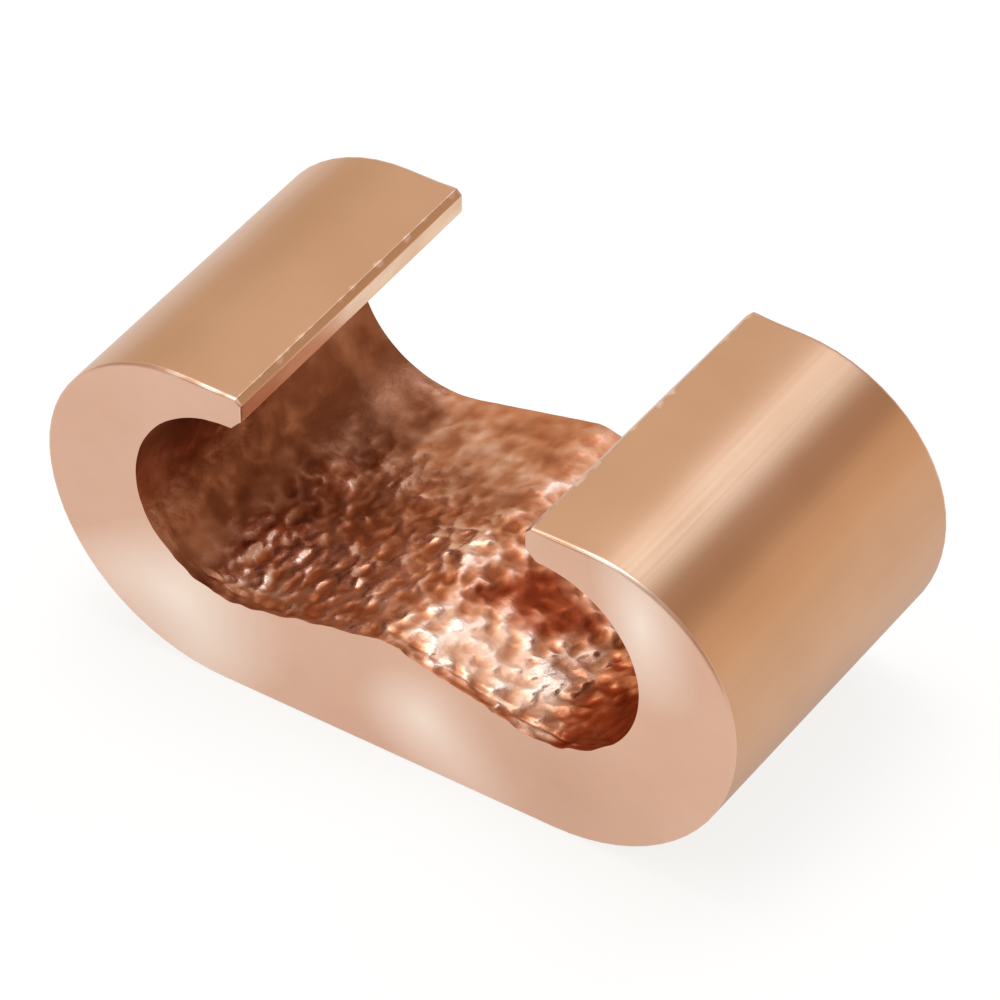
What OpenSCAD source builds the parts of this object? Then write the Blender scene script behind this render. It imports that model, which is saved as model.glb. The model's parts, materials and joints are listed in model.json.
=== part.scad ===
// C-type grounding connector: one thick copper C, pressed shut round two parallel conductors.
// It stands on its flat base with the mouth up. The conductors lie along Y.
// The origin is at the middle of the base. Millimetres.

/* [Grooves] */
// Diameter of the groove that each conductor lies in
groove_d = 10.9; // [7:0.1:16]
// Distance between the two groove axes
groove_pitch = 16.9; // [15:0.1:24]
// Metal between a groove and the end of the C
end_wall = 5.1; // [3.5:0.1:8]
// Metal between a groove and the base
base_wall = 5; // [3.5:0.1:8]
// Rise of the crest between the grooves, above the bottoms of the grooves
crest_rise = 1.9; // [0.5:0.05:2.5]
// Radius over the crest
crest_r = 2; // [1:0.1:4]

/* [Lips] */
// Thickness of each lip over the crown of its groove
lip_t = 1.8; // [1.4:0.1:3]
// Reach of each lip past the axis of its groove, towards the mouth
lip_reach = 0.6; // [0:0.05:2]
// Chamfer on the upper edge of each lip
lip_break = 0.3; // [0.1:0.05:0.5]
// Chamfer under each lip, from its edge back to the groove
lip_relief = 0.55; // [0.1:0.05:0.8]

/* [Body] */
// Length along the conductors
body_l = 18.4; // [8:0.1:60]
// Radius of the lower outer corners
base_r = 9.7; // [8:0.1:11]
// Chamfer round the outer rim of both end faces
rim_break = 0.2; // [0.1:0.05:0.6]

/* [Hidden] */
$fn = 96;
groove_r = groove_d / 2;
axis_x = groove_pitch / 2;
axis_z = base_wall + groove_r;
crown_z = axis_z + groove_r;
body_w = groove_pitch + groove_d + 2 * end_wall;
body_h = crown_z + lip_t;
// The ends are two arcs that meet at the widest point, at the height of the lower radius.
top_r = body_h - base_r;
lip_x = axis_x - lip_reach;
// Cuts run this far past the faces that they open.
overcut = 1;

// The flank of the floor is the line that passes over the crest and under the groove.
// It lies this far inside both arcs, so that each of them crosses it cleanly.
blend = 0.01;
flank_crest_r = crest_r - blend;
flank_groove_r = groove_r - blend;
crest_z = base_wall + crest_rise - crest_r;
flank_span = norm([axis_x, axis_z - crest_z]);
flank_angle = atan2(axis_z - crest_z, axis_x) - asin((flank_crest_r + flank_groove_r) / flank_span);
flank_normal = [-sin(flank_angle), cos(flank_angle)];
flank_top = [0, crest_z] + flank_crest_r * flank_normal;
flank_foot = [axis_x, axis_z] - flank_groove_r * flank_normal;

// A round corner of the blank, as a disc about Y with both rims chamfered
module corner_disc(r) {
    half_l = body_l / 2;
    rotate([90, 0, 0])
        rotate_extrude()
            polygon([
                [0, -half_l],
                [r - rim_break, -half_l],
                [r, -half_l + rim_break],
                [r, half_l - rim_break],
                [r - rim_break, half_l],
                [0, half_l]
            ]);
}

// The straight stretch between two corners of radius r, up to height r, with both rims chamfered
module straight_bar(r) {
    half_l = body_l / 2;
    span = body_w - 2 * r;
    translate([-span / 2, 0, 0])
        rotate([90, 0, 90])
            linear_extrude(height = span)
                polygon([
                    [-half_l, 0],
                    [half_l, 0],
                    [half_l, r - rim_break],
                    [half_l - rim_break, r],
                    [-half_l + rim_break, r],
                    [-half_l, r - rim_break]
                ]);
}

// One half of the blank, above its middle plane: a bar with a quarter-round corner at each end
module half_blank(r) {
    intersection() {
        union() {
            straight_bar(r);
            for (side = [-1, 1])
                translate([side * (body_w / 2 - r), 0, 0])
                    corner_disc(r);
        }
        translate([-body_w, -body_l, 0])
            cube([2 * body_w, 2 * body_l, r + overcut]);
    }
}

// The blank before the channel is cut
module blank() {
    translate([0, 0, base_r]) {
        half_blank(top_r);
        mirror([0, 0, 1])
            half_blank(base_r);
    }
}

// The floor between the grooves: two flanks that meet in a rounded crest
module floor_profile() {
    difference() {
        polygon([
            flank_top,
            flank_foot,
            [axis_x, axis_z],
            [-axis_x, axis_z],
            [-flank_foot[0], flank_foot[1]],
            [-flank_top[0], flank_top[1]]
        ]);
        translate([0, crest_z])
            circle(r = crest_r);
    }
}

// The right half of the mouth, with the edges of its lip chamfered
module half_mouth_profile() {
    lean_in = groove_r / 2;
    polygon([
        [0, axis_z],
        [lip_x + lip_relief, axis_z],
        [lip_x + lip_relief + lean_in, crown_z - lean_in],
        [lip_x, crown_z + lip_relief],
        [lip_x, body_h - lip_break],
        [lip_x + lip_break + overcut, body_h + overcut],
        [0, body_h + overcut]
    ]);
}

// Section of the channel: a groove on each side, the floor between them and the mouth above
module channel_profile() {
    for (side = [-1, 1])
        translate([side * axis_x, axis_z])
            circle(r = groove_r);
    floor_profile();
    half_mouth_profile();
    mirror([1, 0])
        half_mouth_profile();
}

module c_body() {
    color("#cb9169")
        difference() {
            blank();
            rotate([90, 0, 0])
                linear_extrude(height = body_l + 2 * overcut, center = true)
                    channel_profile();
        }
}

c_body();
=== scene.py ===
"""Looks of the c-type grounding connector: one solid copper C, satin outside and crushed in its channel."""

import json
import math

import bpy
import numpy as np
from mathutils import Matrix, Vector, noise
from mathutils.geometry import delaunay_2d_cdt


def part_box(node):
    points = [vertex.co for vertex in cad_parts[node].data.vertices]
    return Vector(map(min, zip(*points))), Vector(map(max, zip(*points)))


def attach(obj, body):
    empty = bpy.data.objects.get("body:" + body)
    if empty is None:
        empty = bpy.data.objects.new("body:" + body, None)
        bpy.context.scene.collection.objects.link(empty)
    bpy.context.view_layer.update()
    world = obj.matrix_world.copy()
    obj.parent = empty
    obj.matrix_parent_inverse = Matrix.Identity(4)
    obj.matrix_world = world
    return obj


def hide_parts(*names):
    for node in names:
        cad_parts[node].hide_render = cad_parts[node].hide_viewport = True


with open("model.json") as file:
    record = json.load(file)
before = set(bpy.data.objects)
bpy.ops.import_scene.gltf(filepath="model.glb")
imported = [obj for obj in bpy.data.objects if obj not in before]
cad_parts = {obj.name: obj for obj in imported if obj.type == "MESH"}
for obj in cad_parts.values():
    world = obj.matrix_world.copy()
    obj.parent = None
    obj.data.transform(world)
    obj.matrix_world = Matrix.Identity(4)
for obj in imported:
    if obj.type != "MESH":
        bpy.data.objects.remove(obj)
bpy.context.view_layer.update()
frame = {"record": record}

MM = 0.001
NODE = "c_body"

# Sizes of the connector in millimetres. The overall box and the grooves come from the frame.
BOX_LOW, BOX_HIGH = (np.array(corner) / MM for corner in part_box(NODE))
WIDTH, LENGTH, HEIGHT = BOX_HIGH - BOX_LOW
GROOVE = next(m for m in frame["record"]["mounts"] if m["name"] == "right_groove")
GROOVE_R = GROOVE["dims"]["r_mm"]
AXIS_X = GROOVE["pos_m"][0] / MM
AXIS_Z = GROOVE["pos_m"][2] / MM
CROWN_Z = AXIS_Z + GROOVE_R
BASE_R = 9.7
TOP_R = HEIGHT - BASE_R
CREST_R = 2.0
CREST_RISE = 1.9
CREST_TOP = AXIS_Z - GROOVE_R + CREST_RISE
RIM_BREAK = 0.2

# Lips in millimetres: reach past the axis of the groove, chamfers, and radius over their edges
LIP_REACH = 0.6
LIP_X = AXIS_X - LIP_REACH
LIP_TOP_BREAK = 0.3
LIP_UNDER_BREAK = 0.55
LIP_ROUND = 0.08

# Taper of the lips: extra reach at the front and at the back
LIP_FRONT_REACH = 0.1
LIP_BACK_REACH = -0.08

# Metal this near to the edge of a lip moves with it, and over the next stretch it follows less and less.
LIP_MOVES = 0.5
LIP_FOLLOWS = 2.0

# Share of the rim's rounding on a lip, and the stretch over which it grows to the whole
LIP_RIM_SHARE = 0.3
LIP_RIM_GROWS = 1.5

# Spacing of the mesh in millimetres
SKIN_STEP = 0.9
CHANNEL_STEP = 0.1
WALL_STEP = 0.22
ROW_STEP = 0.104
RIM_ROWS = (0.0, 0.03, 0.08, 0.14, 0.2)

# Angle round a groove where the close points of its floor give way to those of its wall, in degrees
WALL_ANGLE = -10

# Tolerance of the triangulations, and of a comparison of lengths
WELD = 1e-7
TINY = 1e-6

# Regions of the section
SKIN, LIP, CHANNEL = range(3)

# Material slots, and the run in X per step in Z below which a strip of a lip is its upright edge
SKIN_SLOT, CUT_SLOT, ROUGH_SLOT, LIP_SLOT = range(4)
UPRIGHT = 0.5

# Relief of the channel in millimetres: soft lumps, pebbles and swells, and crushed facets
LUMP, LUMP_HEIGHT = 0.8, 0.12
PEBBLE, PEBBLE_HEIGHT = 0.38, 0.045
SWELL, SWELL_HEIGHT = 3.2, 0.1
FACET, FACET_HEIGHT = 0.38, 0.07

# Lumps and facets are drawn out along Y. Facet corners stray in cells that run on past the channel.
STRETCH = 1.25
JITTER = 0.42
CELLS_BEYOND = 2
FACET_SEED = 12

# Relief from the darkest pits to the palest tops
RELIEF_SPAN = 0.22

# Noise that moves the borders of the tones sideways
WANDER, WANDER_REACH = 2.4, 1.6

# A low burr along the front rim of the floor, ragged, with a narrow valley behind it
BURR_HEIGHT = 0.15
BURR_WIDTH = 0.5
BURR_LUMP = 0.8
BURR_MEAN = 0.8
VALLEY_DEPTH = 0.14
VALLEY_PLACE = 0.85
VALLEY_WIDTH = 0.25

# Reach of the wear beside an edge
EDGE_REACH = 0.36

# Soft spots of the channel in plan: middle in X and Y, then half width and half length, in millimetres. The
# red patch is painted shade and the flank a painted highlight.
RED_PATCH = (4.1, -2.0, 4.8, 3.8)
HIGHLIT_FLANK = (3.3, -6.5, 4.6, 3.9)
RIGHT_BOTTOM = (6.7, -6.9, 3.2, 2.8)
ROUGH_FRONT = (-6.5, -6.5, 5.0, 4.5)

# Lists of spots, each with its share first: where the relief is calmer, or rougher below zero, where the
# metal is painted pale as a highlight, where painted shade darkens it, and where the left wall's painted
# shade is lighter
CALM_SPOTS = ((0.4, *HIGHLIT_FLANK), (0.5, *RED_PATCH), (0.35, *RIGHT_BOTTOM), (-0.9, *ROUGH_FRONT))
HIGHLIGHT_SPOTS = (
    (1.0, *HIGHLIT_FLANK),
    (0.65, -7.4, -7.3, 4.2, 2.8),
    (0.5, -1.2, -6.6, 2.4, 1.8),
    (0.6, *RIGHT_BOTTOM),
    (0.15, 2.4, 7.0, 3.0, 3.0),
)
SHADE_SPOTS = ((0.32, -2.2, 3.5, 6.0, 6.5), (0.3, -3.2, -5.2, 2.0, 1.6), (0.35, 0.5, -9.0, 2.0, 0.9))
LIGHT_SPOTS = ((0.45, -10.0, -0.5, 3.5, 4.0), (0.4, -13.5, -8.5, 2.2, 2.5))

# Fades of the channel are pairs: where a fade starts and where it is full, in millimetres.
# Relief grows away from the lips and the rims, and a share of it is left at a rim.
LIP_CALM = (0.0, 0.7)
RIM_CALM = (0.0, 0.5)
RIM_SHARE = 0.35

# Calmer relief on the walls and at the back, and the heights over which the burr grows
CALM_WALLS, CALM_WALLS_X = 0.75, (9.0, 11.5)
CALM_BACK, CALM_BACK_Y = 0.65, (-1.0, 5.0)
BURR_Z = (8.0, 5.5)

# Painted shade all over, and on the left half
SHADE_ALL = 0.05
SHADE_LEFT, SHADE_LEFT_X, SHADE_LEFT_Y = 0.15, (2.0, -5.0), (-6.5, -2.5)

# Painted shade on the left wall: it starts nearer the middle at the back, and is weaker at the front, back
# and top
LEFT_WALL, LEFT_WALL_X, LEFT_WALL_FADE, LEFT_WALL_TOP_Z = 0.9, 8.8, 1.2, (13.5, 11.5)
LEFT_WALL_NEARER, LEFT_WALL_NEARER_Y = 1.2, (0.5, 4.5)
LEFT_WALL_FRONT, LEFT_WALL_FRONT_Y = 0.25, (-5.0, -7.5)
LEFT_WALL_BACK, LEFT_WALL_BACK_Y = 0.3, (4.0, 7.0)

# Painted shade on the right wall: it starts further out at the back, and is weaker at the front
RIGHT_WALL, RIGHT_WALL_X = 0.95, (6.0, 8.0)
RIGHT_WALL_FURTHER, RIGHT_WALL_FURTHER_Y = 2.0, (-4.0, 0.0)
RIGHT_WALL_FRONT, RIGHT_WALL_FRONT_Y = 0.4, (-6.0, -8.0)

# Red painted shade on the low front of the right wall
RED_WALL, RED_WALL_X, RED_WALL_Y, RED_WALL_Z = 0.75, (7.5, 9.5), (3.0, -2.0), (10.5, 7.5)

# Patches of the end faces: middle in X and Z, half width and half height in millimetres, and strength. On
# the front face they are painted highlights and one of painted shade; on the back face, burnish.
FRONT_HIGHLIGHTS = ((-12.2, 3.4, 6.9, 4.8, 1.0), (2.6, 2.2, 5.0, 4.0, 0.8), (14.2, 15.6, 3.8, 5.0, 0.9))
FRONT_SHADE = (11.0, 3.0, 7.5, 5.0, 0.8)
BACK_BURNISHED = ((8.0, 2.8, 7.5, 4.0, 0.5), (-15.0, 12.0, 4.0, 6.0, 0.45))
PATCH_DEPTH = 6.0

# Size and reach of the noise that makes those patches uneven
WARP, WARP_REACH = 9.0, 6.0

# Painted highlights in pale spots on the front rim above the grooves, given the same way
RIM_HIGHLIGHTS = (
    (-9.5, 17.65, 0.9, 0.5, 1.0),
    (-8.2, 17.65, 0.6, 0.5, 1.0),
    (-11.4, 17.6, 0.7, 0.5, 0.6),
    (12.6, 17.5, 2.6, 0.9, 0.9),
)

# Grain of the finishes in millimetres, and how far it is drawn out: a small factor makes long lines
DRAWN_LINE, DRAWN_LINE_Y = 0.16, 0.012
DRAWN_CLOUD = 6.0
CHIP = 1.0
CUT_LINE, CUT_LINE_X = 0.22, 0.25
CUT_CLOUD = 7.0
LIP_LINE, LIP_LINE_Y = 0.2, 0.05
LIP_CLOUD, LIP_CLOUD_Y = 1.2, 0.3
CRUSHED_GRAIN = 0.22
CRUSHED_CLOUD = 2.0
LINE_DEPTH = 0.02
CRUSHED_DEPTH = 0.04

# Heights over which two kinds of painted shade low on the outside fade: a darker colour, and a copper tint
# of its glancing reflections
LOW_SHADE_Z = (2.0, 8.0)
LOW_TINT_Z = (3.0, 10.0)

# Tones of the crushed channel, from its pits to its tops: place in the relief, then colour. Darker pits are
# painted shade and paler tops painted highlight.
LIT_TONES = ((0.2, (0.40, 0.118, 0.043)), (0.5, (0.66, 0.285, 0.145)), (0.82, (0.92, 0.60, 0.45)))
SHADE_TONES = ((0.15, (0.125, 0.035, 0.014)), (0.5, (0.225, 0.072, 0.031)), (0.85, (0.42, 0.17, 0.087)))
RED_SHADE_TONES = ((0.15, (0.17, 0.021, 0.006)), (0.5, (0.32, 0.053, 0.016)), (0.85, (0.62, 0.225, 0.105)))
HIGHLIGHT_TONES = ((0.1, (0.58, 0.24, 0.12)), (0.4, (0.84, 0.50, 0.325)), (0.8, (0.96, 0.76, 0.58)))

# Floor: side in metres, its grey, and the light that lifts it to white where it is seen
FLOOR_SIDE = 4
FLOOR_GREY = (0.25, 0.25, 0.25, 1)
FLOOR_GLOW = (0.98, 1, 1, 1)
FLOOR_LIFT = 0.81

# Light from all round, and the distance of the lamps in metres
WORLD = (0.57, 0.45, 0.38, 1)
LAMP_DISTANCE = 0.4

# Lamps: name, azimuth and elevation in degrees, width and height in metres, and radiance
LAMPS = (
    ("left_panel", -40, 42, 0.30, 0.18, (0.39, 0.50, 0.57)),
    ("left_low_panel", -50, 15, 0.34, 0.20, (0.30, 0.35, 0.31)),
    ("back_panel", 5, 52, 0.18, 0.15, (1.18, 1.79, 2.52)),
    ("right_panel", 56, 10, 0.30, 0.25, (0.46, 0.47, 0.42)),
    ("overhead", -60, 78, 0.25, 0.25, (2.6, 2.54, 2.48)),
    ("front_fill", -150, 42, 0.20, 0.20, (1.2, 1.17, 1.14)),
)

# Camera: angles in degrees, with the azimuth from the front towards +X, and lengths in millimetres
CAMERA_AZIMUTH = 33.86
CAMERA_ELEVATION = 41.05
CAMERA_ROLL = -0.226
CAMERA_DISTANCE = 349.06
AIM_HEIGHT = 8.686
AIM_RIGHT = 0.231
AIM_UP = 0.146
SENSOR = 36
LENS = 270
CLIP_START = 10


def line(start, end, step):
    """Points from start up to end, without end."""
    start, end = np.array(start, float), np.array(end, float)
    count = max(1, round(np.linalg.norm(end - start) / step))
    return start + (end - start) * (np.arange(count) / count)[:, None]


def arc(centre, radius, start, end, step):
    """Points on an arc from one angle up to another, in degrees, without the last."""
    sweep = math.radians(end - start)
    count = max(1, round(abs(sweep) * radius / step))
    angles = math.radians(start) + sweep * np.arange(count) / count
    return np.array(centre) + radius * np.c_[np.cos(angles), np.sin(angles)]


def rounded(before, corner, after, radius, steps=4):
    """Points that round one corner of a polyline, and one just past each end to hold the flat there."""
    before, corner, after = (np.array(p, float) for p in (before, corner, after))
    a, b = before - corner, after - corner
    a, b = a / np.linalg.norm(a), b / np.linalg.norm(b)
    half_angle = math.acos(np.clip(a @ b, -1, 1)) / 2
    cut = radius / math.tan(half_angle)
    centre = corner + (a + b) / np.linalg.norm(a + b) * radius / math.sin(half_angle)
    first, last = corner + a * cut - centre, corner + b * cut - centre
    sweep = math.pi - 2 * half_angle
    turns = np.arange(steps + 1) / steps * sweep
    bend = (first[:, None] * np.sin(sweep - turns) + last[:, None] * np.sin(turns)) / math.sin(sweep)
    held = radius / 2
    return np.concatenate([[corner + a * (cut + held)], centre + bend.T, [corner + b * (cut + held)]])


def fade(value, start, full):
    """Smooth step from 0 at start to 1 at full, in either direction."""
    t = np.clip((value - start) / (full - start), 0, 1)
    return t * t * (3 - 2 * t)


def spot(x, y, middle_x, middle_y, half_x, half_y):
    """A soft round spot in plan: 1 at its middle and 0 outside it."""
    return fade(np.hypot((x - middle_x) / half_x, (y - middle_y) / half_y), 1, 0)


def spots(x, y, places):
    """Sum of soft spots, each times its share."""
    return sum(share * spot(x, y, *place) for share, *place in places)


def section():
    """The closed outline of the C in X and Z, clockwise from the right lip, and the region of each point."""
    crest = np.array([0, CREST_TOP - CREST_R])
    axis = np.array([AXIS_X, AXIS_Z])
    rise = AXIS_Z - crest[1]
    slope = math.atan2(rise, AXIS_X) - math.asin((CREST_R + GROOVE_R) / math.hypot(AXIS_X, rise))
    normal = np.array([-math.sin(slope), math.cos(slope)])
    flank_top = crest + CREST_R * normal
    flank_foot = axis - GROOVE_R * normal
    foot_angle = math.degrees(math.atan2(-normal[1], -normal[0]))
    # The lower chamfer of a lip meets the groove where its 45 degree line crosses the circle.
    offset = AXIS_X - LIP_X - CROWN_Z - LIP_UNDER_BREAK + AXIS_Z
    reach = math.acos(offset / (GROOVE_R * math.sqrt(2))) - math.radians(45)
    lip_angle = math.degrees(math.pi - reach)
    lip_foot = axis + GROOVE_R * np.array([-math.cos(reach), math.sin(reach)])
    flip = np.array([-1, 1])
    half = WIDTH / 2
    arm = (half - TOP_R, HEIGHT)
    lip_corners = [
        arm,
        (LIP_X + LIP_TOP_BREAK, HEIGHT),
        (LIP_X, HEIGHT - LIP_TOP_BREAK),
        (LIP_X, CROWN_Z + LIP_UNDER_BREAK),
        lip_foot,
    ]
    lip = np.concatenate([rounded(*lip_corners[k:k + 3], LIP_ROUND) for k in range(3)])
    runs = [
        (SKIN, lip[0] + np.array([[EDGE_REACH / 2, 0], [EDGE_REACH, 0]])),
        (SKIN, line(lip[0], arm, SKIN_STEP)[1:]),
        (SKIN, arc((half - TOP_R, BASE_R), TOP_R, 90, 0, SKIN_STEP)),
        (SKIN, arc((half - BASE_R, BASE_R), BASE_R, 0, -90, SKIN_STEP)),
        (SKIN, line((half - BASE_R, 0), (BASE_R - half, 0), SKIN_STEP * 2)),
        (SKIN, arc((BASE_R - half, BASE_R), BASE_R, -90, -180, SKIN_STEP)),
        (SKIN, arc((TOP_R - half, BASE_R), TOP_R, 180, 90, SKIN_STEP)),
        (SKIN, line(flip * arm, flip * lip[0], SKIN_STEP)),
        (SKIN, flip * lip[0] - np.array([[EDGE_REACH, 0], [EDGE_REACH / 2, 0]])),
        (LIP, flip * lip),
        (CHANNEL, arc(flip * axis, GROOVE_R, 180 - lip_angle, 180 - WALL_ANGLE, WALL_STEP)),
        (CHANNEL, arc(flip * axis, GROOVE_R, 180 - WALL_ANGLE, 180 - foot_angle, CHANNEL_STEP)),
        (CHANNEL, line(flip * flank_foot, flip * flank_top, CHANNEL_STEP)),
        (CHANNEL, arc(crest, CREST_R, 90 - math.degrees(slope), 90 + math.degrees(slope), CHANNEL_STEP)),
        (CHANNEL, line(flank_top, flank_foot, CHANNEL_STEP)),
        (CHANNEL, arc(axis, GROOVE_R, foot_angle, WALL_ANGLE, CHANNEL_STEP)),
        (CHANNEL, arc(axis, GROOVE_R, WALL_ANGLE, lip_angle, WALL_STEP)),
        (LIP, [lip_foot]),
        (LIP, lip[::-1]),
    ]
    points = np.concatenate([run for _, run in runs])
    regions = np.concatenate([np.full(len(run), tag) for tag, run in runs])
    return points, regions


def stations():
    """Places along Y: close rows at both rims and even rows between them."""
    rim = np.array(RIM_ROWS) - LENGTH / 2
    middle = line((rim[-1], 0), (-rim[-1], 0), ROW_STEP)[1:, 0]
    return np.concatenate([rim, middle, -rim[::-1]])


def from_end(ys):
    """Distance of places along Y from the nearer end face."""
    return LENGTH / 2 - np.abs(ys)


def crushed(along, ys, size, height, seed):
    """Heights of the unrolled channel as a sheet crushed into flat facets about one size across."""
    rng = np.random.default_rng(seed)
    columns = np.arange(-CELLS_BEYOND, math.ceil(along[-1] / size) + CELLS_BEYOND + 1)
    rows = np.arange(-CELLS_BEYOND, math.ceil(LENGTH / size / STRETCH) + CELLS_BEYOND + 1)
    u, v = (part.ravel().astype(float) for part in np.meshgrid(columns, rows))
    u = (u + rng.uniform(-JITTER, JITTER, u.size)) * size
    v = (v + rng.uniform(-JITTER, JITTER, v.size)) * size * STRETCH - LENGTH / 2
    tops = rng.uniform(-height, height, u.size)
    _, _, faces, origins, _, _ = delaunay_2d_cdt([Vector(p) for p in zip(u, v)], [], [], 0, WELD)
    relief = np.zeros((len(ys), len(along)))
    for face in faces:
        a, b, c = (origins[i][0] for i in face)
        i0, i1 = np.searchsorted(along, (min(u[a], u[b], u[c]), max(u[a], u[b], u[c])))
        k0, k1 = np.searchsorted(ys, (min(v[a], v[b], v[c]), max(v[a], v[b], v[c])))
        if i0 == i1 or k0 == k1:
            continue
        du, dv = along[i0:i1][None, :] - u[a], ys[k0:k1][:, None] - v[a]
        area = (u[b] - u[a]) * (v[c] - v[a]) - (u[c] - u[a]) * (v[b] - v[a])
        to_b = (du * (v[c] - v[a]) - dv * (u[c] - u[a])) / area
        to_c = (dv * (u[b] - u[a]) - du * (v[b] - v[a])) / area
        hit = (to_b >= 0) & (to_c >= 0) & (to_b + to_c <= 1)
        inner = tops[a] + to_b * (tops[b] - tops[a]) + to_c * (tops[c] - tops[a])
        relief[k0:k1, i0:i1][hit] = inner[hit]
    return relief


def lumps(place):
    """Height of the soft lumps of the channel at one place. They are drawn out along Y."""
    drawn = Vector((place.x, place.y / STRETCH, place.z))
    fine = PEBBLE_HEIGHT * noise.noise(drawn / PEBBLE)
    return LUMP_HEIGHT * noise.noise(drawn / LUMP) + fine + SWELL_HEIGHT * noise.noise(place / SWELL)


def sampled(profile, ys, value_at):
    """Values of a function of place, for each row and each point of a profile in X and Z."""
    return np.array([[value_at(Vector((x, y, z))) for x, z in profile] for y in ys])


def channel_relief(profile, along, ys, wander):
    """Height of the crushed texture, calmer by the lips and rims, on the walls and towards the back."""
    x, y = profile[:, 0], ys[:, None]
    from_lip = np.minimum(along, along[-1] + CHANNEL_STEP - along)
    share = RIM_SHARE + (1 - RIM_SHARE) * fade(from_end(y), *RIM_CALM)
    share = share * (1 - CALM_WALLS * fade(np.abs(x + wander), *CALM_WALLS_X))
    share = share * (1 - CALM_BACK * fade(y, *CALM_BACK_Y))
    for calm, *place in CALM_SPOTS:
        share = share * (1 - calm * spot(x, y, *place))
    facets = crushed(along, ys, FACET, FACET_HEIGHT, FACET_SEED)
    return (facets + sampled(profile, ys, lumps)) * fade(from_lip, *LIP_CALM) * share


def front_burr(profile, ys):
    """Height of the burr along the front rim of the floor, and of the valley behind it."""
    burr = BURR_HEIGHT * fade(from_end(ys), BURR_WIDTH, 0)
    burr = burr - VALLEY_DEPTH * fade(np.abs(from_end(ys) - VALLEY_PLACE), VALLEY_WIDTH, 0)
    ragged = BURR_MEAN + sampled(profile, ys, lambda place: noise.noise(place / BURR_LUMP))
    return np.where(ys < 0, burr, 0)[:, None] * ragged * fade(profile[:, 1], *BURR_Z)


def rim_rounding(points, regions, ys):
    """How far the rounding of the rims draws each point in: less on the lips, and not in the channel."""
    start = LIP_X + LIP_TOP_BREAK
    share = LIP_RIM_SHARE + (1 - LIP_RIM_SHARE) * fade(np.abs(points[:, 0]), start, start + LIP_RIM_GROWS)
    share[(regions == SKIN) & (points[:, 1] < AXIS_Z)] = 1
    share[regions == LIP] = LIP_RIM_SHARE
    share[regions == CHANNEL] = 0
    into_rim = np.clip(RIM_BREAK - from_end(ys), 0, RIM_BREAK)
    depth = RIM_BREAK - np.sqrt(RIM_BREAK ** 2 - into_rim ** 2)
    return depth[:, None] * share


def lip_taper(points, ys):
    """How far each point moves in X with the taper of its lip."""
    follows = fade(np.abs(np.abs(points[:, 0]) - LIP_X), LIP_MOVES + LIP_FOLLOWS, LIP_MOVES)
    follows[points[:, 1] < AXIS_Z] = 0
    part = (ys + LENGTH / 2) / LENGTH
    reach = LIP_FRONT_REACH + (LIP_BACK_REACH - LIP_FRONT_REACH) * part
    return -np.sign(points[:, 0]) * reach[:, None] * follows


def surface_rows(points, regions, ys):
    """Places of all points, row by row, with the relief of the channel and the wander of its tones."""
    inside = np.flatnonzero(regions == CHANNEL)
    profile = points[inside]
    along = np.cumsum(np.linalg.norm(profile - points[inside - 1], axis=1))
    wander = np.zeros((len(ys), len(points)))
    relief = np.zeros_like(wander)
    wander[:, inside] = sampled(profile, ys, lambda place: WANDER_REACH * noise.noise(place / WANDER))
    relief[:, inside] = channel_relief(profile, along, ys, wander[:, inside])
    shift = relief - rim_rounding(points, regions, ys)
    shift[:, inside] += front_burr(profile, ys)
    tangent = np.roll(points, -1, axis=0) - np.roll(points, 1, axis=0)
    normal = np.c_[-tangent[:, 1], tangent[:, 0]]
    normal /= np.linalg.norm(normal, axis=1)[:, None]
    x = points[:, 0] + normal[:, 0] * shift + lip_taper(points, ys)
    y = np.broadcast_to(ys[:, None], shift.shape)
    z = points[:, 1] + normal[:, 1] * shift
    return np.stack([x, y, z], axis=-1), relief, wander


def shade_of(x, y, z):
    """How much painted shade darkens the channel: most on the enclosed walls, and a little along the middle.
    """
    middle = SHADE_LEFT * fade(x, *SHADE_LEFT_X) * fade(y, *SHADE_LEFT_Y) + spots(x, y, SHADE_SPOTS)
    start = LEFT_WALL_X - LEFT_WALL_NEARER * fade(y, *LEFT_WALL_NEARER_Y)
    left = LEFT_WALL * fade(-x, start, start + LEFT_WALL_FADE) * fade(z, *LEFT_WALL_TOP_Z)
    left = left * (1 - LEFT_WALL_FRONT * fade(y, *LEFT_WALL_FRONT_Y))
    left = left * (1 - LEFT_WALL_BACK * fade(y, *LEFT_WALL_BACK_Y)) * (1 - spots(x, y, LIGHT_SPOTS))
    further = RIGHT_WALL_FURTHER * fade(y, *RIGHT_WALL_FURTHER_Y)
    right = RIGHT_WALL * fade(x - further, *RIGHT_WALL_X)
    right = right * (1 - RIGHT_WALL_FRONT * fade(y, *RIGHT_WALL_FRONT_Y))
    return SHADE_ALL + middle + left + right


def red_shade_of(x, y, z):
    """How much red painted shade darkens the channel: on a smooth patch by the right groove, and low on the
    front of its wall.
    """
    low_front = fade(x, *RED_WALL_X) * fade(y, *RED_WALL_Y) * fade(z, *RED_WALL_Z)
    return spot(x, y, *RED_PATCH) + RED_WALL * low_front


def edge_wear(points, ys):
    """How near each point lies to an edge that wears: a rim, or the upper edge of a lip."""
    from_lip = np.abs(np.abs(points[:, 0]) - LIP_X - LIP_TOP_BREAK)
    at_lip = np.clip(1 - from_lip / EDGE_REACH, 0, 1) * (points[:, 1] > AXIS_Z)
    at_rim = np.clip(1 - from_end(ys) / EDGE_REACH, 0, 1)
    return np.maximum(at_rim[:, None], at_lip)


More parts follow.
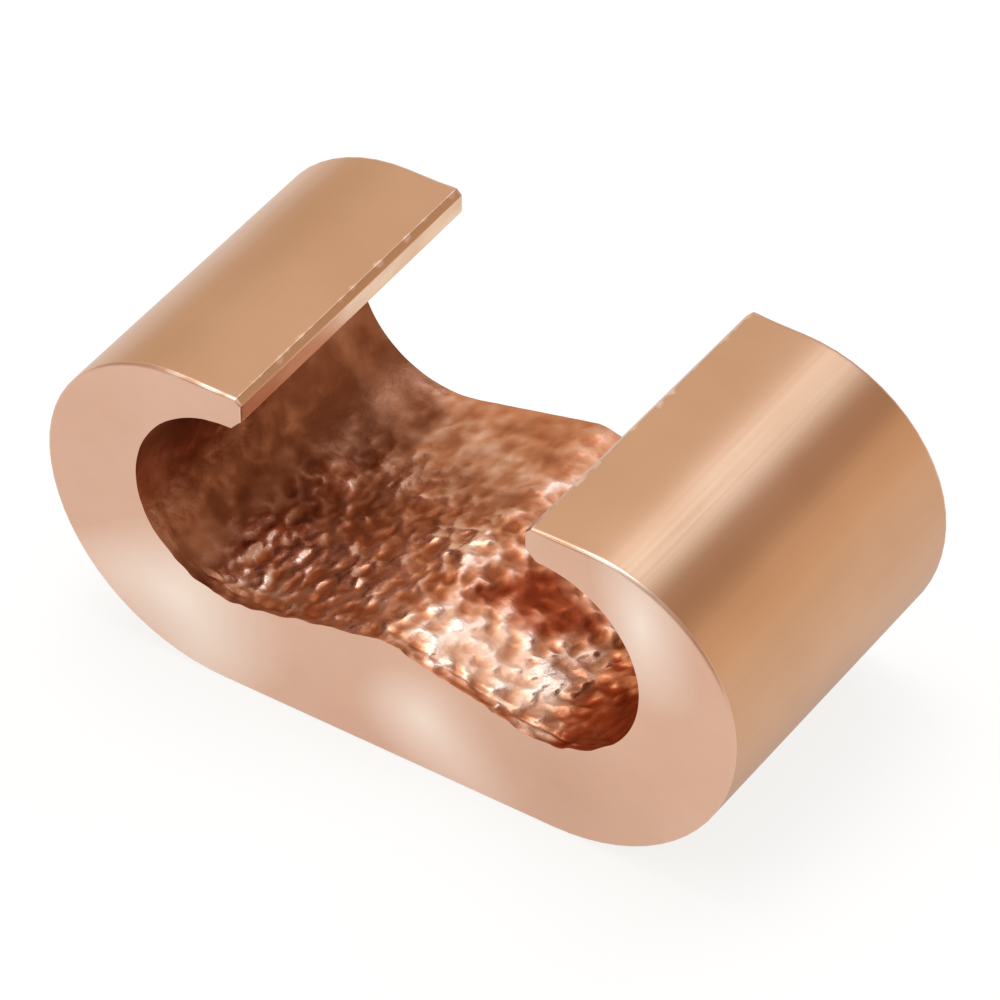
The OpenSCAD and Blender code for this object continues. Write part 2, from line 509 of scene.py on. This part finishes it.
def strip_slots(points, regions, ys):
    """Material slot of each strip of the surface, by row and by the point of the outline where it starts."""
    run = np.abs(np.roll(points, -1, axis=0) - points)
    rough = (regions == CHANNEL) & (np.roll(regions, -1) == CHANNEL)
    upright = (regions == LIP) & (run[:, 0] < UPRIGHT * run[:, 1])
    slots = np.tile(np.where(rough, ROUGH_SLOT, np.where(upright, LIP_SLOT, SKIN_SLOT)), (len(ys) - 1, 1))
    at_rim = np.minimum(from_end(ys[:-1]), from_end(ys[1:])) < RIM_BREAK - TINY
    slots[at_rim[:, None] & (slots == SKIN_SLOT)] = CUT_SLOT
    return slots


def end_face(loop, corners):
    """Triangles that fill one closed loop of the end face, counterclockwise in X and Z."""
    flat = [Vector((x, z)) for x, _, z in corners]
    placed, _, faces, origins, _, _ = delaunay_2d_cdt(flat, [], [range(len(flat))], 1, WELD)
    assert len(placed) == len(flat)
    return [tuple(loop[origins[i][0]] for i in face) for face in faces]


def paint(mesh, name, values):
    """Store one number for each point of the mesh."""
    attribute = mesh.attributes.new(name, "FLOAT", "POINT")
    attribute.data.foreach_set("value", values.astype(np.float32).ravel())


def build_mesh():
    """The whole connector as one closed mesh, with the numbers that its finishes read."""
    points, regions = section()
    ys = stations()
    places, relief, wander = surface_rows(points, regions, ys)
    index = np.arange(relief.size).reshape(relief.shape)
    right = np.roll(index, -1, axis=1)
    quads = np.stack([index[:-1], right[:-1], right[1:], index[1:]], axis=-1).reshape(-1, 4)
    front = end_face(index[0].tolist(), places[0])
    back = [face[::-1] for face in end_face(index[-1].tolist(), places[-1])]
    faces = [tuple(quad) for quad in quads.tolist()] + front + back
    mesh = bpy.data.meshes.new("connector")
    mesh.from_pydata((places.reshape(-1, 3) * MM).tolist(), [], faces)
    ends = np.full(len(front) + len(back), CUT_SLOT)
    slots = np.concatenate([strip_slots(points, regions, ys).ravel(), ends])
    mesh.polygons.foreach_set("material_index", slots.astype(np.int32))
    mesh.polygons.foreach_set("use_smooth", np.arange(len(faces)) < len(quads))
    x, y, z = points[:, 0], ys[:, None], points[:, 1]
    paint(mesh, "relief", np.clip(0.5 + relief / RELIEF_SPAN, 0, 1))
    # Painted shade, red painted shade and painted highlights, stored for the colour of the channel
    paint(mesh, "stain", shade_of(x + wander, y, z))
    paint(mesh, "red", red_shade_of(x + wander, y, z))
    paint(mesh, "worn", spots(x, y, HIGHLIGHT_SPOTS))
    paint(mesh, "edge", edge_wear(points, ys))
    mesh.update()
    mesh.validate()
    return mesh


class Surface:
    """A Principled material with the nodes that the finishes share."""

    def __init__(self, name):
        self.material = bpy.data.materials.new(name)
        self.material.use_nodes = True
        self.tree = self.material.node_tree
        self.shader = self.tree.nodes["Principled BSDF"]
        self.place = self.tree.nodes.new("ShaderNodeTexCoord").outputs["Object"]

    def set(self, socket, value):
        """One value all over the surface."""
        self.shader.inputs[socket].default_value = value

    def feed(self, socket, source):
        """A value that varies over the surface."""
        self.tree.links.new(source, self.shader.inputs[socket])

    def node(self, kind, links=(), **values):
        """A new node, with its inputs linked, and its other inputs and settings given by name."""
        made = self.tree.nodes.new(kind)
        for key, value in values.items():
            if key in made.inputs:
                made.inputs[key].default_value = value
            else:
                setattr(made, key, value)
        for key, source in dict(links).items():
            self.tree.links.new(source, made.inputs[key])
        return made

    def painted(self, name):
        """A number that the mesh stores for each point."""
        return self.node("ShaderNodeAttribute", attribute_name=name).outputs["Fac"]

    def stretched(self, x=1, y=1, z=1):
        """Place, with its axes scaled."""
        return self.node("ShaderNodeMapping", {"Vector": self.place}, Scale=(x, y, z)).outputs["Vector"]

    def grain(self, vector, size, detail=3.0, roughness=0.5):
        """Noise of one size in millimetres."""
        made = self.node("ShaderNodeTexNoise", {"Vector": vector}, Scale=1 / (size * MM), Detail=detail,
                         Roughness=roughness)
        return made.outputs["Fac"]

    def patch(self, vector, middle, half):
        """Soft ball: 1 at its middle and 0 at its half sizes, in millimetres."""
        near = self.node("ShaderNodeMapping", {"Vector": vector}, vector_type="TEXTURE",
                         Location=[v * MM for v in middle], Scale=[v * MM for v in half])
        source = {"Vector": near.outputs["Vector"]}
        return self.node("ShaderNodeTexGradient", source, gradient_type="SPHERICAL").outputs["Fac"]

    def combined(self, operation, first, second, clamp=False):
        """Two numbers put together."""
        made = self.node("ShaderNodeMath", {0: first, 1: second}, operation=operation, use_clamp=clamp)
        return made.outputs[0]

    def ramp(self, source, stops):
        """Colours along a number: each stop is a place and a colour."""
        made = self.node("ShaderNodeValToRGB", {"Fac": source})
        elements = made.color_ramp.elements
        while len(elements) < len(stops):
            elements.new(0.5)
        for element, (position, colour) in zip(elements, stops):
            element.position = position
            element.color = (*colour, 1)
        return made.outputs["Color"]

    def span(self, source, low, high, start=0.3, end=0.7):
        """A number taken from start and end to low and high, and held outside them."""
        made = self.node("ShaderNodeMapRange", {"Value": source})
        for key, value in (("From Min", start), ("From Max", end), ("To Min", low), ("To Max", high)):
            made.inputs[key].default_value = value
        return made.outputs["Result"]

    def mix(self, factor, first, second):
        """Two colours mixed, each a source or plain."""
        made = self.node("ShaderNodeMix", data_type="RGBA")
        self.tree.links.new(factor, made.inputs["Factor"])
        for key, source in (("A", first), ("B", second)):
            socket = next(s for s in made.inputs if s.name == key and s.type == "RGBA")
            if isinstance(source, tuple):
                socket.default_value = (*source, 1)
            else:
                self.tree.links.new(source, socket)
        return next(s for s in made.outputs if s.type == "RGBA")

    def bump(self, height, strength, depth):
        """Normal bent by a height, with the depth in millimetres."""
        made = self.node("ShaderNodeBump", {"Height": height}, Strength=strength, Distance=depth * MM)
        self.feed("Normal", made.outputs["Normal"])


def skin_finish():
    """Drawn outside faces: satin golden copper with fine lines along the length, paler at its worn edges,
    with painted shade towards the bottom: a darker colour and redder reflections.
    """
    line_tone, low_shade, bare = (0.53, 0.29, 0.165), (0.47, 0.235, 0.115), (0.86, 0.62, 0.47)
    white, low_tint = (1, 1, 1), (0.69, 0.53, 0.43)
    s = Surface("drawn_copper")
    lines = s.grain(s.stretched(y=DRAWN_LINE_Y), DRAWN_LINE, 4, 0.6)
    cloud = s.grain(s.place, DRAWN_CLOUD, 2)
    chips = s.grain(s.place, CHIP, 2)
    height = s.node("ShaderNodeSeparateXYZ", {"Vector": s.place}).outputs["Z"]
    golden = s.ramp(cloud, [(0.3, (0.565, 0.310, 0.170)), (0.7, (0.610, 0.345, 0.200))])
    drawn = s.mix(s.span(lines, 0.0, 0.14), golden, line_tone)
    # Painted shade: the copper is darker towards the bottom
    low_shaded = s.mix(s.span(height, 0.5, 0.0, *(z * MM for z in LOW_SHADE_Z)), drawn, low_shade)
    chipped = s.combined("ADD", s.painted("edge"), s.span(chips, -0.9, 0.3), clamp=True)
    s.feed("Base Color", s.mix(s.span(chipped, 0.0, 0.6, 0.6, 1.0), low_shaded, bare))
    # Painted shade: the glancing reflections are redder and darker towards the bottom
    s.feed("Specular Tint", s.mix(s.span(height, 1.0, 0.0, *(z * MM for z in LOW_TINT_Z)), white, low_tint))
    s.feed("Roughness", s.span(lines, 0.28, 0.34))
    s.bump(lines, 0.028, LINE_DEPTH)
    s.set("Metallic", 1.0)
    return s.material


def cut_finish():
    """Cut end faces and rims: paler, pinker satin copper, with painted highlights and a patch of painted
    shade on the front face, burnished patches on the back, and painted highlights in spots on the rim.
    """
    burnish_and_highlight, front_shade_tone, worn = (0.97, 0.82, 0.71), (0.60, 0.355, 0.245), (0.98, 0.88, 0.79)
    s = Surface("cut_copper")
    cloud = s.grain(s.place, CUT_CLOUD, 2)
    lines = s.grain(s.stretched(x=CUT_LINE_X), CUT_LINE, 3)
    tone = s.ramp(cloud, [(0.3, (0.690, 0.420, 0.300)), (0.7, (0.745, 0.470, 0.345))])
    warp = s.node("ShaderNodeTexNoise", {"Vector": s.place}, Scale=1 / (WARP * MM), Detail=0.0)
    moved = s.node("ShaderNodeVectorMath", {0: warp.outputs["Color"], 2: s.place}, operation="MULTIPLY_ADD")
    moved.inputs[1].default_value = [WARP_REACH * MM] * 3
    # The noise is about a half on average, so the patches move by half its reach to stay in place.
    offset = WARP_REACH / 2
    # Painted highlights and painted shade on the front face, and burnish on the back
    patches = [(-1, *patch, burnish_and_highlight) for patch in FRONT_HIGHLIGHTS] + [(-1, *FRONT_SHADE, front_shade_tone)]
    patches += [(1, *patch, burnish_and_highlight) for patch in BACK_BURNISHED]
    for end, x, z, wide, high, share, colour in patches:
        middle = (x + offset, end * LENGTH / 2 + offset, z + offset)
        near = s.patch(moved.outputs["Vector"], middle, (wide, PATCH_DEPTH, high))
        tone = s.mix(s.span(near, 0.0, share, 0.0, 1.0), tone, colour)
    # Painted highlights on the front rim
    for x, z, wide, high, share in RIM_HIGHLIGHTS:
        near = s.patch(s.place, (x, RIM_BREAK / 2 - LENGTH / 2, z), (wide, RIM_BREAK / 2, high))
        tone = s.mix(s.span(near, 0.0, share, 0.0, 0.5), tone, worn)
    s.feed("Base Color", tone)
    s.feed("Roughness", s.span(lines, 0.30, 0.38))
    s.bump(lines, 0.08, LINE_DEPTH)
    s.set("Metallic", 1.0)
    return s.material


def crushed_finish():
    """The channel: crushed copper, with painted highlights on its high facets and in pale patches, painted
    shade redder in its pits, and painted shade where enclosed and in red patches.
    """
    s = Surface("crushed_copper")
    relief = s.painted("relief")
    grain = s.grain(s.place, CRUSHED_GRAIN, 3)
    cloud = s.grain(s.place, CRUSHED_CLOUD, 2)
    # Shares of painted shade, red painted shade and painted highlight, each made uneven by the cloud
    shaded = s.combined("ADD", s.painted("stain"), s.span(cloud, -0.25, 0.25), clamp=True)
    red_shaded = s.combined("ADD", s.painted("red"), s.span(cloud, 0.25, -0.25), clamp=True)
    highlit = s.combined("ADD", s.painted("worn"), s.span(cloud, -0.3, 0.3), clamp=True)
    tone = s.mix(shaded, s.ramp(relief, LIT_TONES), s.ramp(relief, SHADE_TONES))
    tone = s.mix(s.span(red_shaded, 0.0, 0.95, 0.25, 0.75), tone, s.ramp(relief, RED_SHADE_TONES))
    s.feed("Base Color", s.mix(s.span(highlit, 0.0, 0.9, 0.3, 0.8), tone, s.ramp(relief, HIGHLIGHT_TONES)))
    s.feed("Roughness", s.combined("ADD", s.span(relief, 0.40, 0.27, 0.3, 0.75), s.span(grain, -0.03, 0.05)))
    s.feed("Metallic", s.span(relief, 0.5, 0.95, 0.25, 0.75))
    s.bump(grain, 0.5, CRUSHED_DEPTH)
    s.set("Specular IOR Level", 0.0)
    s.set("Specular Tint", (0.85, 0.62, 0.48, 1))
    return s.material


def lip_finish():
    """Upright edges of the lips: the drawn copper painted pale, a painted reflection."""
    s = Surface("worn_copper")
    cloud = s.grain(s.stretched(y=LIP_CLOUD_Y), LIP_CLOUD, 3)
    lines = s.grain(s.stretched(y=LIP_LINE_Y), LIP_LINE, 3)
    s.feed("Base Color", s.ramp(cloud, [(0.3, (0.70, 0.45, 0.28)), (0.7, (0.88, 0.65, 0.475))]))
    s.feed("Roughness", s.span(lines, 0.28, 0.36))
    s.bump(lines, 0.08, LINE_DEPTH)
    s.set("Metallic", 1.0)
    return s.material


def floor_finish():
    """Pale floor: plain diffuse that takes the shadow, lifted to white for the camera and in reflections."""
    s = Surface("studio_floor")
    path = s.node("ShaderNodeLightPath").outputs
    seen = s.combined("MAXIMUM", path["Is Camera Ray"], path["Is Glossy Ray"])
    seen = s.combined("MAXIMUM", seen, path["Is Transmission Ray"])
    lift = s.node("ShaderNodeMath", {0: seen}, operation="MULTIPLY")
    lift.inputs[1].default_value = FLOOR_LIFT
    s.feed("Emission Strength", lift.outputs[0])
    s.set("Emission Color", FLOOR_GLOW)
    s.set("Base Color", FLOOR_GREY)
    s.set("Roughness", 1.0)
    s.set("Specular IOR Level", 0.0)
    return s.material


def floor():
    """Square floor under the connector."""
    half = FLOOR_SIDE / 2
    mesh = bpy.data.meshes.new("floor")
    corners = [(-half, -half, 0), (half, -half, 0), (half, half, 0), (-half, half, 0)]
    mesh.from_pydata(corners, [], [(0, 1, 2, 3)])
    mesh.materials.append(floor_finish())
    made = bpy.data.objects.new("floor", mesh)
    bpy.context.scene.collection.objects.link(made)


def direction(azimuth, elevation):
    """Unit vector from the connector: azimuth 0 is behind it, towards +Y, and grows towards +X."""
    azimuth, elevation = math.radians(azimuth), math.radians(elevation)
    flat = math.cos(elevation)
    return Vector((math.sin(azimuth) * flat, math.cos(azimuth) * flat, math.sin(elevation)))


def softbox(name, azimuth, elevation, wide, high, radiance):
    """Area lamp that faces the connector and adds the given radiance to the world behind it."""
    lamp = bpy.data.lights.new(name, "AREA")
    lamp.shape = "RECTANGLE"
    lamp.size, lamp.size_y = wide, high
    level = max(radiance)
    lamp.color = [channel / level for channel in radiance]
    lamp.energy = level * math.pi * wide * high
    towards = direction(azimuth, elevation)
    turn = towards.to_track_quat("Z", "Y").to_matrix().to_4x4()
    middle = Vector((0, 0, HEIGHT / 2 * MM))
    made = bpy.data.objects.new(name, lamp)
    made.matrix_world = Matrix.Translation(middle + towards * LAMP_DISTANCE) @ turn
    made.visible_camera = False
    bpy.context.scene.collection.objects.link(made)


def studio():
    """Floor, world and lamps."""
    scene = bpy.context.scene
    scene.view_settings.view_transform = "Standard"
    world = bpy.data.worlds.new("studio")
    world.use_nodes = True
    world.node_tree.nodes["Background"].inputs["Color"].default_value = WORLD
    scene.world = world
    floor()
    for lamp in LAMPS:
        softbox(*lamp)


def photo_camera():
    """Camera at the photograph's angle."""
    back = direction(180 - CAMERA_AZIMUTH, CAMERA_ELEVATION)
    azimuth, roll = math.radians(CAMERA_AZIMUTH), math.radians(CAMERA_ROLL)
    level = Vector((math.cos(azimuth), math.sin(azimuth), 0))
    upright = back.cross(level)
    right = level * math.cos(roll) + upright * math.sin(roll)
    up = upright * math.cos(roll) - level * math.sin(roll)
    aim = Vector((0, 0, AIM_HEIGHT)) + right * AIM_RIGHT + up * AIM_UP
    eye = (aim + back * CAMERA_DISTANCE) * MM
    data = bpy.data.cameras.new("camera")
    data.sensor_width = SENSOR
    data.lens = LENS
    data.clip_start = CLIP_START * MM
    made = bpy.data.objects.new("camera", data)
    made.matrix_world = Matrix.Translation(eye) @ Matrix((right, up, back)).transposed().to_4x4()
    bpy.context.scene.collection.objects.link(made)
    bpy.context.scene.camera = made


photo_camera()
studio()
connector = bpy.data.objects.new("connector", build_mesh())
bpy.context.scene.collection.objects.link(connector)
for finish in (skin_finish(), cut_finish(), crushed_finish(), lip_finish()):
    connector.data.materials.append(finish)
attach(connector, "root")
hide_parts(NODE)
